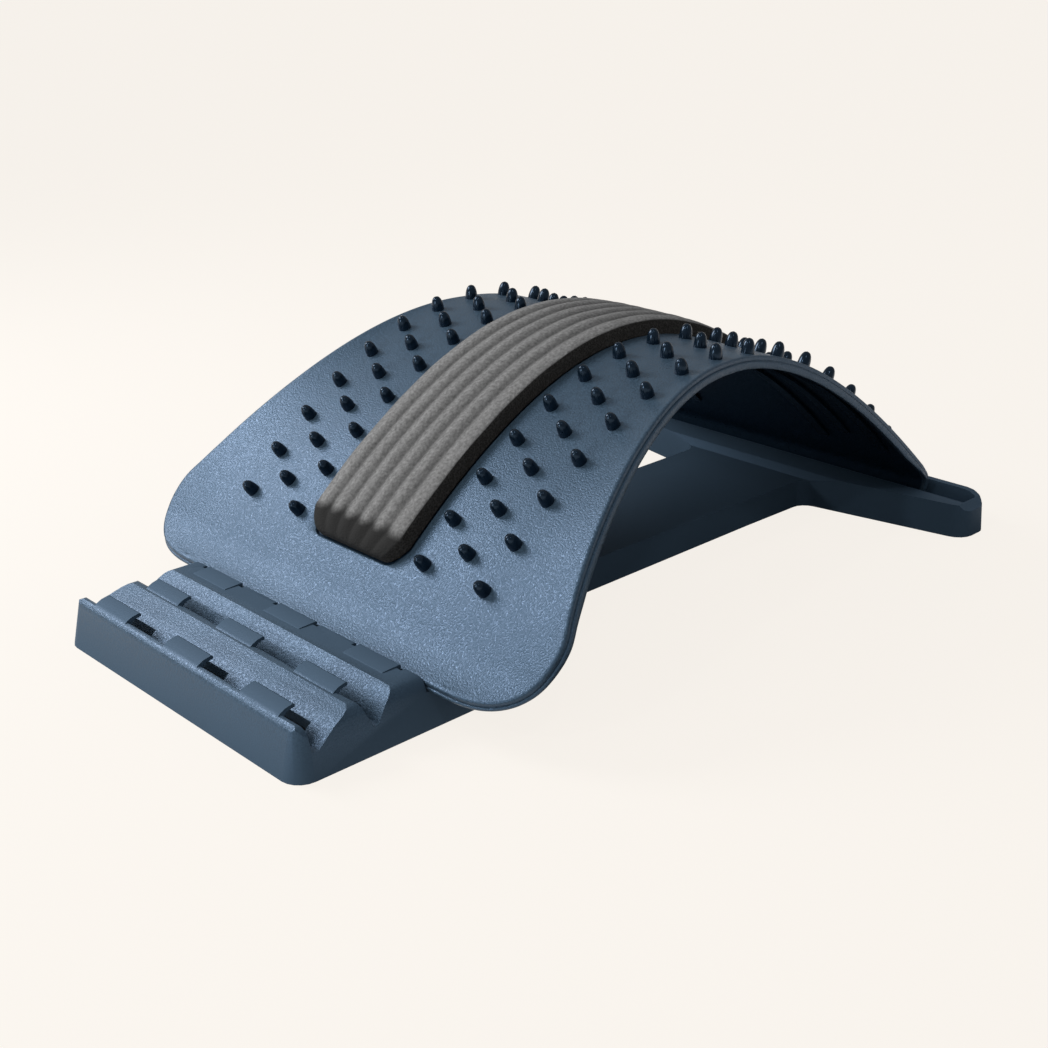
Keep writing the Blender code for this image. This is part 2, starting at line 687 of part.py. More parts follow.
def hang_on_hinge(pieces):
    """Parent the arch and its cutters to an empty on the hinge axis, without moving them."""
    pivot = bpy.data.objects.new("arch_pivot", None)
    pivot.location = HINGE
    pivot.empty_display_size = 20 * MM
    PARTS.objects.link(pivot)
    for piece in pieces:
        piece.parent = pivot
        piece.matrix_parent_inverse = Matrix.Translation(-HINGE)


base_frame()
of_base = set(bpy.data.objects)
arch_plate()
foam_pad()
pad_adhesive()
stud_strips()
hang_on_hinge([piece for piece in bpy.data.objects if piece not in of_base])
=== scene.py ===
"""Looks of the back stretcher: finer pieces, finishes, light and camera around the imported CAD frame."""

import math

import bmesh
import bpy
import numpy as np
from mathutils import Matrix, Vector, noise


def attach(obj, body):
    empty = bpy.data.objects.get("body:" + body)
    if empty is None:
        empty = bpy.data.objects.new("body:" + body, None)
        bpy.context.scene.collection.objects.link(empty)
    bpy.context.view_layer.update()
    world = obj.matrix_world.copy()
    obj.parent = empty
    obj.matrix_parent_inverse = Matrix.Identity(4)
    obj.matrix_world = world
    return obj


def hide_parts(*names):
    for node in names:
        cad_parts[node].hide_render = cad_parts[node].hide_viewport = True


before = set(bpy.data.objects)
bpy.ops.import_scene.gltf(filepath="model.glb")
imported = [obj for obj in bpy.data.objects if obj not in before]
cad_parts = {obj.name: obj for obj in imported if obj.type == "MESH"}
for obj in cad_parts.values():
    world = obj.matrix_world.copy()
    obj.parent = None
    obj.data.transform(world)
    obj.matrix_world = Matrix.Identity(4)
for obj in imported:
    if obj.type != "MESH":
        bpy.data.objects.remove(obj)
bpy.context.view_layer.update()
MM = 0.001


# Camera, where the photograph was taken from: over the front corner of the block, looking
# along the stretcher and down at it. The photograph is a crop, so the lens is shifted a little.

camera_data = bpy.data.cameras.new("camera")
camera_data.sensor_width = 36
camera_data.lens = 52.78
camera_data.shift_x = 0.02423
camera_data.shift_y = -0.05885
camera = bpy.data.objects.new("camera", camera_data)
bpy.context.scene.collection.objects.link(camera)
forward = Vector((0.6415, 0.6908, -0.3336)).normalized()
level_right = forward.cross(Vector((0, 0, 1))).normalized()
level_up = level_right.cross(forward)
roll = math.radians(-0.48)
right = level_right * math.cos(roll) + level_up * math.sin(roll)
up = level_up * math.cos(roll) - level_right * math.sin(roll)
turned = Matrix((right, up, -forward)).transposed().to_4x4()
camera.matrix_world = Matrix.Translation((-0.451125, -0.4625625, 0.280075)) @ turned
bpy.context.scene.camera = camera


# Light: a soft round lamp above and beyond the front of the left side, which gives the front
# slope and the ramps their sheen and leaves the crest and the right side darker, a weak low one
# in front, and a plain dim room. Two small lamps are seen only as points in the glossy studs.

scene = bpy.context.scene
scene.view_settings.view_transform = "Standard"
world = bpy.data.worlds.new("studio")
world.use_nodes = True
world.node_tree.nodes["Background"].inputs["Color"].default_value = (1.0, 1.0, 1.0, 1)
world.node_tree.nodes["Background"].inputs["Strength"].default_value = 0.33
scene.world = world


def soft_lamp(name, place, watts, across):
    """A round lamp at place, turned to the arch's front half."""
    aim = Vector((-0.05, 0, 0.06))
    data = bpy.data.lights.new(name, "AREA")
    data.shape = "DISK"
    data.size = across
    data.energy = watts
    lamp = bpy.data.objects.new(name, data)
    lamp.location = place
    lamp.rotation_mode = "QUATERNION"
    lamp.rotation_quaternion = (Vector(place) - aim).to_track_quat("Z", "Y")
    scene.collection.objects.link(lamp)


soft_lamp("key", (-0.36, 0.58, 0.525), 4.4, 0.40)
soft_lamp("fill", (-0.95, 0.05, 0.20), 2.1, 0.30)


def point_sun(name, towards, strength):
    """A distant lamp in the direction given, small enough to show as a point in a glossy tip."""
    data = bpy.data.lights.new(name, "SUN")
    data.energy = strength
    data.angle = math.radians(3)
    lamp = bpy.data.objects.new(name, data)
    lamp.rotation_mode = "QUATERNION"
    lamp.rotation_quaternion = Vector(towards).to_track_quat("Z", "Y")
    scene.collection.objects.link(lamp)


point_sun("point_left", (-0.75, 0.05, 0.65), 0.22)
point_sun("point_right", (-0.30, -0.45, 0.80), 0.16)


# Stage: a plain pale table top that runs on out of the picture, cream to the camera. Nearly all
# of that cream is its own light, which keeps the object's shadow faint. That light is left out
# under the base, where the openings look down on it, as a painted shadow, and, in reflections,
# in the shade of the arch.

def new_material(name):
    """A new material, its node tree and its Principled shader."""
    material = bpy.data.materials.new(name)
    material.use_nodes = True
    tree = material.node_tree
    return material, tree, tree.nodes["Principled BSDF"]


def maths(tree, operation, *values):
    """A maths node in tree, fed with sockets or plain numbers."""
    node = tree.nodes.new("ShaderNodeMath")
    node.operation = operation
    for socket, value in zip(node.inputs, values):
        if isinstance(value, (int, float)):
            socket.default_value = value
        else:
            tree.links.new(value, socket)
    return node.outputs["Value"]


def blend(tree, factor, first, second):
    """A mix of two colours, each a socket or a tuple of red, green and blue."""
    node = tree.nodes.new("ShaderNodeMix")
    node.data_type = "RGBA"
    tree.links.new(factor, node.inputs["Factor"])
    for name, colour in (("A", first), ("B", second)):
        if isinstance(colour, tuple):
            node.inputs[name].default_value = (*colour, 1)
        else:
            tree.links.new(colour, node.inputs[name])
    return node.outputs["Result"]


table_mesh = bpy.data.meshes.new("table_top")
reach = 30.0
corners = [(-reach, -reach, 0), (reach, -reach, 0), (reach, reach, 0), (-reach, reach, 0)]
table_mesh.from_pydata(corners, [], [(0, 1, 2, 3)])
table_top = bpy.data.objects.new("table_top", table_mesh)
scene.collection.objects.link(table_top)
table_finish, table_tree, shader = new_material("table_cream")
shader.inputs["Base Color"].default_value = (0.10, 0.097, 0.093, 1)
shader.inputs["Roughness"].default_value = 0.9
shader.inputs["Specular IOR Level"].default_value = 0.0
path = table_tree.nodes.new("ShaderNodeLightPath")
spot = table_tree.nodes.new("ShaderNodeTexCoord")
axes = table_tree.nodes.new("ShaderNodeSeparateXYZ")
table_tree.links.new(spot.outputs["Object"], axes.inputs["Vector"])


def outside(middle_x, half_x, half_y):
    """1 where the table is outside a box that is centred on the X axis."""
    within_x = maths(table_tree, "COMPARE", axes.outputs["X"], middle_x, half_x)
    within_y = maths(table_tree, "COMPARE", axes.outputs["Y"], 0.0, half_y)
    past_x = maths(table_tree, "SUBTRACT", 1.0, within_x)
    past_y = maths(table_tree, "SUBTRACT", 1.0, within_y)
    return maths(table_tree, "MAXIMUM", past_x, past_y)


# In a reflection the table is dark all round the arch, which shades it there.
lit = outside(50 * MM, 150 * MM, 230 * MM)
mirrored = maths(table_tree, "MAXIMUM", path.outputs["Is Glossy Ray"], path.outputs["Is Transmission Ray"])
own_light = maths(table_tree, "MULTIPLY", mirrored, lit)
own_light = maths(table_tree, "MAXIMUM", path.outputs["Is Camera Ray"], own_light)
# The block, the spine and the rear foot stand on it, each a little inside its outline. Under them
# the table's own light is left out, a painted shadow.
painted_shadow_boxes = (
    (-142.5 * MM, 45 * MM, 77.5 * MM),
    (0, 190 * MM, 31 * MM),
    (183.5 * MM, 5 * MM, 109 * MM),
)
# Painted shadow: the table's own light is cut off inside each of these boxes.
for middle_x, half_x, half_y in painted_shadow_boxes:
    own_light = maths(table_tree, "MULTIPLY", own_light, outside(middle_x, half_x, half_y))
glow = blend(table_tree, own_light, (0, 0, 0), (0.88, 0.84, 0.79))
table_tree.links.new(glow, shader.inputs["Emission Color"])
shader.inputs["Emission Strength"].default_value = 1.0
table_mesh.materials.append(table_finish)


# Base: the low I-shaped frame that lies on the table, with two grooves behind its front lip,
# nine flat hooks, and a slot across its rear foot. One moulding in slate ABS, sparked to a fine
# grain on its ramps. The arch only rests on it and turns against its rear lip.

def group_socket(tree, name, kind, incoming, value=None):
    """A named input or output of a node group."""
    direction = "INPUT" if incoming else "OUTPUT"
    socket = tree.interface.new_socket(name, in_out=direction, socket_type=kind)
    if value is not None:
        socket.default_value = value


def object_noise(tree, scale, detail):
    """A noise texture's value, in the object's own coordinates."""
    place = tree.nodes.new("ShaderNodeTexCoord")
    texture = tree.nodes.new("ShaderNodeTexNoise")
    texture.inputs["Scale"].default_value = scale
    texture.inputs["Detail"].default_value = detail
    tree.links.new(place.outputs["Object"], texture.inputs["Vector"])
    return texture.outputs["Fac"]


def spread(tree, value, old_range, new_range):
    """A value stretched from one range to another and kept within it."""
    node = tree.nodes.new("ShaderNodeMapRange")
    node.inputs["From Min"].default_value = old_range[0]
    node.inputs["From Max"].default_value = old_range[1]
    node.inputs["To Min"].default_value = new_range[0]
    node.inputs["To Max"].default_value = new_range[1]
    tree.links.new(value, node.inputs["Value"])
    return node.outputs["Result"]


def painted(tree, name):
    """The value of a vertex attribute."""
    node = tree.nodes.new("ShaderNodeAttribute")
    node.attribute_name = name
    return node.outputs["Fac"]


def emboss(tree, shader, height, depth, strength):
    """Bump on a shader, from a height between 0 and 1."""
    node = tree.nodes.new("ShaderNodeBump")
    node.inputs["Distance"].default_value = depth
    node.inputs["Strength"].default_value = strength
    tree.links.new(height, node.inputs["Height"])
    tree.links.new(node.outputs["Normal"], shader.inputs["Normal"])


def moulded_grain():
    """Shader group: the spark-eroded grain of a moulding, as a colour, a roughness and a height."""
    tree = bpy.data.node_groups.new("moulded_grain", "ShaderNodeTree")
    group_socket(tree, "Colour", "NodeSocketColor", True, (0.1, 0.15, 0.2, 1))
    group_socket(tree, "Smooth", "NodeSocketFloat", True, 0.0)
    group_socket(tree, "Roughness", "NodeSocketFloat", True, 0.5)
    group_socket(tree, "Colour", "NodeSocketColor", False)
    group_socket(tree, "Roughness", "NodeSocketFloat", False)
    group_socket(tree, "Height", "NodeSocketFloat", False)
    link = tree.links.new
    given = tree.nodes.new("NodeGroupInput")
    made = tree.nodes.new("NodeGroupOutput")
    smooth = given.outputs["Smooth"]
    grained = maths(tree, "SUBTRACT", 1.0, smooth)
    fine = spread(tree, object_noise(tree, 1350, 2), (0.34, 0.66), (0, 1))
    broad = object_noise(tree, 26, 3)

    # The colour is speckled by the grain and clouded over a few centimetres.
    speck = spread(tree, fine, (0, 1), (0.78, 1.22))
    cloud = spread(tree, broad, (0.3, 0.7), (0.94, 1.06))
    calm = tree.nodes.new("ShaderNodeMix")
    link(smooth, calm.inputs["Factor"])
    link(speck, calm.inputs["A"])
    calm.inputs["B"].default_value = 1.0
    tint = tree.nodes.new("ShaderNodeVectorMath")
    tint.operation = "SCALE"
    link(given.outputs["Colour"], tint.inputs["Vector"])
    link(maths(tree, "MULTIPLY", calm.outputs["Result"], cloud), tint.inputs["Scale"])
    link(tint.outputs["Vector"], made.inputs["Colour"])

    # The grain's tops are duller than its pits. Where it is left out the moulding is dull all over.
    height = maths(tree, "MULTIPLY", fine, grained)
    dull = maths(tree, "MULTIPLY_ADD", broad, 0.12, given.outputs["Roughness"])
    dull = maths(tree, "MULTIPLY_ADD", smooth, 0.40, dull)
    dull = maths(tree, "MULTIPLY_ADD", height, 0.26, dull)
    link(dull, made.inputs["Roughness"])
    link(height, made.inputs["Height"])
    return tree


GRAIN = moulded_grain()


def moulded_finish(name, colour, roughness, bump, smooth=None):
    """A slate moulding's material, tree, shader and grain.

    smooth names a vertex attribute that is 1 where the moulding has no grain and is dull.
    """
    material, tree, shader = new_material(name)
    shader.inputs["Specular IOR Level"].default_value = 0.8
    shader.inputs["Specular Tint"].default_value = (0.37, 0.61, 1.0, 1)
    grain = tree.nodes.new("ShaderNodeGroup")
    grain.node_tree = GRAIN
    grain.inputs["Colour"].default_value = (*colour, 1)
    grain.inputs["Roughness"].default_value = roughness
    if smooth:
        tree.links.new(painted(tree, smooth), grain.inputs["Smooth"])
    tree.links.new(grain.outputs["Colour"], shader.inputs["Base Color"])
    tree.links.new(grain.outputs["Roughness"], shader.inputs["Roughness"])
    emboss(tree, shader, grain.outputs["Height"], 0.28 * MM, bump)
    return material, tree, shader, grain


def merged_copy(node, name):
    """A copy of a CAD node's mesh with its loose triangles joined up and its flat faces made whole."""
    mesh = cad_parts[node].data.copy()
    mesh.name = name
    mesh.materials.clear()
    bm = bmesh.new()
    bm.from_mesh(mesh)
    bmesh.ops.remove_doubles(bm, verts=bm.verts, dist=0.002 * MM)
    bmesh.ops.recalc_face_normals(bm, faces=bm.faces)
    bmesh.ops.dissolve_limit(bm, angle_limit=math.radians(0.4), verts=bm.verts, edges=bm.edges)
    bm.to_mesh(mesh)
    bm.free()
    obj = bpy.data.objects.new(name, mesh)
    scene.collection.objects.link(obj)
    return obj


base = merged_copy("base_frame", "base_moulding")
base_finish = moulded_finish("slate_base", (0.045, 0.076, 0.110), 0.25, 0.20, "plain")[0]
base.data.materials.append(base_finish)
plain = base.data.attributes.new("plain", "FLOAT", "POINT")
for index, vertex in enumerate(base.data.vertices):
    x, _, z = vertex.co
    on_hooks = z > 20.3 * MM
    on_walls = z < 9 * MM or x < -188.5 * MM
    behind_ramps = x > -143 * MM
    plain.data[index].value = 1.0 if on_hooks or on_walls or behind_ramps else 0.0
round_edges = base.modifiers.new("round_edges", "BEVEL")
round_edges.width = 0.45 * MM
round_edges.segments = 2
round_edges.limit_method = "ANGLE"
round_edges.angle_limit = math.radians(28)
base.data.shade_smooth()
base.data.set_sharp_from_angle(angle=math.radians(30))
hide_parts("base_frame")
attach(base, "base")


# Arch plate: the waisted plate that the user lies back on, a hyperbola in side view, with a
# stepped rim and a shallow recess for the pad. Moulded in the same slate ABS as the base, with
# the same grain; its front half's sides curl up a little.

class ArchLine:
    """The arch's top line in the XZ plane, by distance along it from its apex."""

    def __init__(self):
        apex_x, apex_z = 31.3 * MM, 108.25 * MM
        toe_x, tail_x = -114.3 * MM, 182 * MM
        reach, curvature = 200 * MM, 8.4
        toe_length, toe_slope = 19.5 * MM, math.radians(24)
        tail_radius, tail_slope, tail_drop = 9 * MM, math.radians(85), 7 * MM
        crown = np.linspace(toe_x, tail_x, 1201)
        rise = np.sqrt(1 + ((crown - apex_x) / reach) ** 2)
        height = apex_z - curvature * reach ** 2 * (rise - 1)
        # The front slope is a little fuller than the hyperbola.
        height += 0.7 * MM * np.exp(-((crown + 90 * MM) / (32 * MM)) ** 2)
        start = math.atan2(height[1] - height[0], crown[1] - crown[0])
        toe = self.bend(crown[0], height[0], start, toe_slope, -toe_length)
        end = math.atan2(height[-1] - height[-2], crown[-1] - crown[-2])
        tail = self.bend(crown[-1], height[-1], end, -tail_slope, tail_radius * (tail_slope + end))
        x = np.concatenate([toe[0][::-1][:-1], crown, tail[0][1:]])
        z = np.concatenate([toe[1][::-1][:-1], height, tail[1][1:]])
        self.x = np.append(x, x[-1] + tail_drop * math.cos(tail_slope))
        self.z = np.append(z, z[-1] - tail_drop * math.sin(tail_slope))
        length = np.concatenate([[0], np.cumsum(np.hypot(np.diff(self.x), np.diff(self.z)))])
        self.s = length - np.interp(apex_x, self.x[:1200], length[:1200])

    @staticmethod
    def bend(x, z, slope_from, slope_to, length):
        """A short run whose slope changes evenly, from a point, forwards or backwards."""
        slopes = np.linspace(slope_from, slope_to, 21)
        middle = (slopes[1:] + slopes[:-1]) / 2
        dx = np.cumsum(np.cos(middle)) * length / 20
        dz = np.cumsum(np.sin(middle)) * length / 20
        return np.concatenate([[x], x + dx]), np.concatenate([[z], z + dz])

    def place(self, s, y, out):
        """The point at distance s, side y and height out above the plate.

        Past an end the line runs on straight.
        """
        step = 1.5 * MM
        low = max(self.s[0], min(s, self.s[-1] - step) - step)
        high = min(self.s[-1], max(s, self.s[0] + step) + step)
        dx = np.interp(high, self.s, self.x) - np.interp(low, self.s, self.x)
        dz = np.interp(high, self.s, self.z) - np.interp(low, self.s, self.z)
        run = math.hypot(dx, dz)
        dx, dz = dx / run, dz / run
        inside = min(max(s, self.s[0]), self.s[-1])
        x = np.interp(inside, self.s, self.x) + (s - inside) * dx
        z = np.interp(inside, self.s, self.z) + (s - inside) * dz
        return Vector((x - dz * out, y, z + dx * out))


ARCH = ArchLine()
FRONT = ARCH.s[0]
TAIL = ARCH.s[-1]
ROW = 21.25 * MM


def plate_side():
    """The plate's left edge as (s, y), from the end of its straight front edge round to the tail."""
    waist, front_flare, rear_flare = 80.6 * MM, 38.5 * MM, 9.7 * MM
    corner_length, corner_middle, corner_reach = 31.3 * MM, 84 * MM, 38.5 * MM
    blend_length = 15 * MM
    fine_step, coarse_step = 0.5 * MM, 2.5 * MM
    steps = 80

    def front_half(s):
        return waist + front_flare * ((ROW - s) / (8 * ROW)) ** 1.57

    # The front corner is an arc that turns a little past a right angle and is squarer than a circle.
    side = []
    for k in range(steps + 1):
        angle = math.radians(98) * k / steps
        back = math.cos(angle) ** 0.8 if angle < math.pi / 2 else math.cos(angle)
        y = corner_middle + corner_reach * math.sin(angle) ** 0.8
        side.append((FRONT + corner_length * (1 - back), y))
    corner_s, corner_y = side[-1]
    s = corner_s
    while s < TAIL - 23 * MM:
        near_recess_end = 144 * MM < abs(s) < 157 * MM
        s += fine_step if near_recess_end else coarse_step
        if s < ROW:
            y = front_half(s)
            if s - corner_s < blend_length:
                y += (corner_y - front_half(corner_s)) * (1 - (s - corner_s) / blend_length) ** 2
        else:
            y = waist + rear_flare * ((s - ROW) / (7.5 * ROW)) ** 1.5
        side.append((s, y))
    # The corner's arc runs into the waist without a kink.
    near = [k for k, point in enumerate(side) if -6 * MM < point[0] - corner_s < 20 * MM]
    for _ in range(14):
        for k in near:
            before, after = side[k - 1], side[k + 1]
            side[k] = ((before[0] + after[0]) / 2, (before[1] + after[1]) / 2)
    # The tail's corners, as how far before the end and how much narrower, in mm.
    tail_corner = (
        (17, 0.2), (14, 0.4), (11.5, 0.7), (9, 1.0), (7, 1.2),
        (5, 1.5), (3, 2.1), (1.4, 3.0), (0.4, 4.2), (0, 5.4),
    )
    last = side[-1][1]
    for back, narrower in tail_corner:
        side.append((TAIL - back * MM, last - narrower * MM))
    return side


def plate_lift(s, y, half):
    """How far the side of the front half curls up at y, where half is the plate's half-width."""
    if s > 0 or s < FRONT:
        return 0
    most = 2.4 * MM
    flat_half = 78.7 * MM
    # The whole lift is reached 0.9 mm inside the edge.
    share = min(1, max(0, (abs(y) - flat_half) / (half - 79.6 * MM)))
    return most * math.sin(math.pi * s / FRONT) * share ** 1.5


def recess_at(s):
    """Half-width and depth of the pad's recess at s: the pad's own outline with 1 mm to spare."""
    reach, half, full_depth = 7.30 * ROW, 29.5 * MM, 1.5 * MM
    inside = max(0, reach - abs(s))
    # Its corners are rounded over its last 9 mm.
    corner = 8 * MM * (1 - min(1, math.sqrt(inside / (9 * MM))))
    return half - corner, full_depth * min(1, inside / (0.9 * MM))


def plate_columns(s, end_y):
    """One row across the left half of the plate's top, from the middle, as (y, height)."""
    half, depth = recess_at(s)
    row = [(half * share, -depth) for share in (0, 0.25, 0.5, 0.75)]
    row += [(half - 0.6 * MM, -depth), (half - 0.2 * MM, -0.85 * depth), (half, -0.5 * depth)]
    row += [(half + 0.15 * MM, -0.15 * depth), (half + 0.5 * MM, 0)]
    beside_pad = 36 * MM
    steps = 16
    row += [(beside_pad + (end_y - beside_pad) * k / steps, 0) for k in range(steps + 1)]
    return row


def rim_profile(depth):
    """The rim from the plate's top over its edge and step to its underside: (out, height) in mm."""
    return [
        (-1.4, 0.0), (-0.9, -0.02), (-0.55, -0.1), (-0.26, -0.28), (-0.07, -0.56), (0.0, -0.9),
        (0.0, -1.9), (-0.18, -2.05), (-0.18, -2.3), (0.3, -2.4), (0.58, -2.5), (0.7, -2.8),
        (0.7, 0.25 - depth), (0.6, 0.07 - depth), (0.4, -depth), (-1.1, -depth),
        (-1.3, 0.12 - depth), (-1.6, -3.6),
    ]


def arch_plate():
    """The plate's top and underside as rows from front to tail, joined all round by the rim."""
    thickness = 3.6 * MM
    rim_width = 2.2 * MM
    side = plate_side()
    outward = []
    for k, point in enumerate(side):
        before = side[max(k - 1, 0)]
        after = side[min(k + 1, len(side) - 1)]
        along = Vector((after[0] - before[0], after[1] - before[1])).normalized()
        outward.append(Vector((-along.y, along.x)))
    outward[0] = Vector((-1, 0))
    outward[-1] = Vector((1, 0))

    # The layer is 1 in the recess and on the underside, which are painted darker there as shade.
    bm = bmesh.new()
    painted_shade = bm.verts.layers.float.new("painted_shade")
    tops = []
    unders = []
    for (s, y), out in zip(side, outward):
        s_in = s - out.x * rim_width
        y_in = y - out.y * rim_width
        columns = plate_columns(s_in, y_in)
        row = [(-across, height) for across, height in reversed(columns[1:])] + columns
        top = []
        for across, height in row:
            vertex = bm.verts.new(ARCH.place(s_in, across, height + plate_lift(s_in, across, y)))
            vertex[painted_shade] = min(1, -height / MM)
            top.append(vertex)
        tops.append(top)
        under = []
        for across, _ in row:
            vertex = bm.verts.new(ARCH.place(s_in, across, plate_lift(s_in, across, y) - thickness))
            vertex[painted_shade] = 1
            under.append(vertex)
        unders.append(under)
    for rows, flip in ((tops, False), (unders, True)):
        for row, following in zip(rows, rows[1:]):
            for a, b, c, d in zip(row, row[1:], following[1:], following):
                bm.faces.new((d, c, b, a) if flip else (a, b, c, d))

    # Round the outline once: along the front edge, up the left side, along the tail and back.
    count = len(tops[0])
    round_edge = []
    for k in range(count):
        round_edge.append((side[0][0], Vector((-1, 0)), tops[0][k], unders[0][k], side[0]))
    for k in range(1, len(side)):
        round_edge.append((side[k][0], outward[k], tops[k][-1], unders[k][-1], side[k]))
    for k in range(count - 2, -1, -1):
        round_edge.append((side[-1][0], Vector((1, 0)), tops[-1][k], unders[-1][k], side[-1]))
    for k in range(len(side) - 2, 0, -1):
        mirrored = Vector((outward[k].x, -outward[k].y))
        round_edge.append((side[k][0], mirrored, tops[k][0], unders[k][0], side[k]))
    strips = []
    for s, out, top, under, at in round_edge:
        # The rim hangs lower along the sides than at the front edge and the tail.
        past_front = max(0, (s - FRONT - 12 * MM) / (40 * MM))
        before_tail = max(0, (TAIL - 16 * MM - s) / (20 * MM))
        depth = 3.75 + 1.8 * min(1, past_front, before_tail)
        on_end = top in tops[0] or top in tops[-1]
        edge_y = top.co.y if on_end else math.copysign(at[1], top.co.y)
        lift = 0 if on_end else plate_lift(at[0], at[1], at[1])
        strip = [top]
        for away, height in rim_profile(depth):
            place = (s + out.x * away * MM, edge_y + out.y * away * MM, lift + height * MM)
            strip.append(bm.verts.new(ARCH.place(*place)))
        strip.append(under)
        strips.append(strip)
    for strip, following in zip(strips, strips[1:] + strips[:1]):
        for a, b, c, d in zip(strip, strip[1:], following[1:], following):
            bm.faces.new((a, b, c, d))
    bmesh.ops.remove_doubles(bm, verts=bm.verts, dist=0.001 * MM)
    bmesh.ops.recalc_face_normals(bm, faces=bm.faces)
    mesh = bpy.data.meshes.new("arch_moulding")
    bm.to_mesh(mesh)
    bm.free()
    mesh.shade_smooth()
    mesh.set_sharp_from_angle(angle=math.radians(50))
    obj = bpy.data.objects.new("arch_moulding", mesh)
    scene.collection.objects.link(obj)
    return obj


plate = arch_plate()
plate_finish, plate_tree, shader, grain = moulded_finish("slate_plate", (0.045, 0.076, 0.110), 0.225, 0.30)
# Painted shade: the recess and the underside are coloured a darker navy where they lie in shade.
recess_and_underside_shade = blend(plate_tree, painted(plate_tree, "painted_shade"), grain.outputs["Colour"], (0.008, 0.020, 0.036))
plate_tree.links.new(recess_and_underside_shade, shader.inputs["Base Color"])
plate.data.materials.append(plate_finish)
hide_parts("arch_plate")
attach(plate, "arch")


# Studs: 88 tapered bullets with domed tips, in three columns each side of the pad, standing on
# strips bonded under the plate and coming up through it. Navy thermoplastic rubber, glossy.
# Repeated by Geometry Nodes along the arch's line.

def stud_finish():
    """Glossy dark rubber, faintly smeared."""
    material, tree, shader = new_material("stud_navy")
    shader.inputs["Specular IOR Level"].default_value = 0.45
    shader.inputs["Specular Tint"].default_value = (0.45, 0.68, 1.0, 1)
    smear = object_noise(tree, 700, 3)
    tone = blend(tree, smear, (0.002, 0.006, 0.012), (0.006, 0.015, 0.028))
    tree.links.new(tone, shader.inputs["Base Color"])
    tree.links.new(spread(tree, smear, (0, 1), (0.12, 0.24)), shader.inputs["Roughness"])
    emboss(tree, shader, smear, 0.03 * MM, 0.3)
    return material


